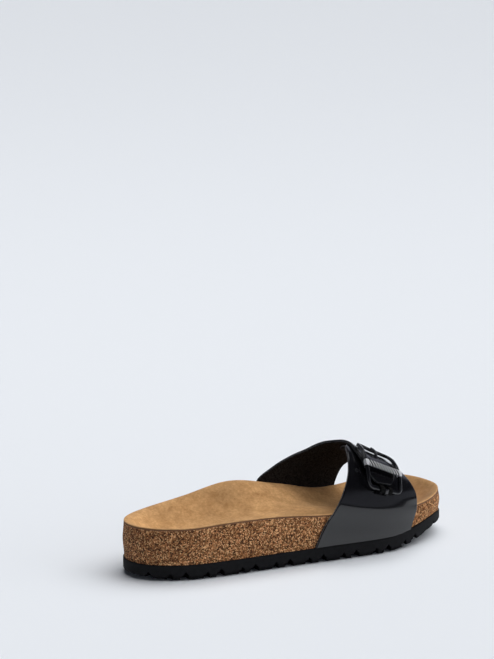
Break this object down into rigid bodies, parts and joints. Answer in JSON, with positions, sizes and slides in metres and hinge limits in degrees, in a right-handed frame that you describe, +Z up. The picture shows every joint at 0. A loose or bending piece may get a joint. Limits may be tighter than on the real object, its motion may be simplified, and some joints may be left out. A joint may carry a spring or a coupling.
{
  "type": "slide sandal",
  "caption": "Right-foot slide sandal with a moulded cork footbed, suede lining, notched rubber outsole and a wide patent strap closed by a buckle.",
  "frame": {"origin": "middle of the bounding box, on the floor plane under the sole", "axes": "+X from the heel to the toe, +Y towards the inner (big toe) side of the foot, +Z up from the floor"},
  "size_m": [0.2544, 0.0976, 0.0741],
  "materials": {
    "outsole_rubber": "matte",
    "cork": "matte, granular",
    "suede": "napped suede",
    "patent": "high gloss patent",
    "buckle_black": "gloss",
    "keeper_metal": "satin, fine ribs"
  },
  "bodies": {
    "root": {"outsole": "outsole_rubber", "footbed_cork": "cork", "insole_lining": "suede", "strap_outer": "patent", "strap_inner": "patent", "buckle_frame": "buckle_black", "buckle_keeper": "keeper_metal", "buckle_prong": "buckle_black", "buckle_tab": "patent"}
  },
  "joints": []
}
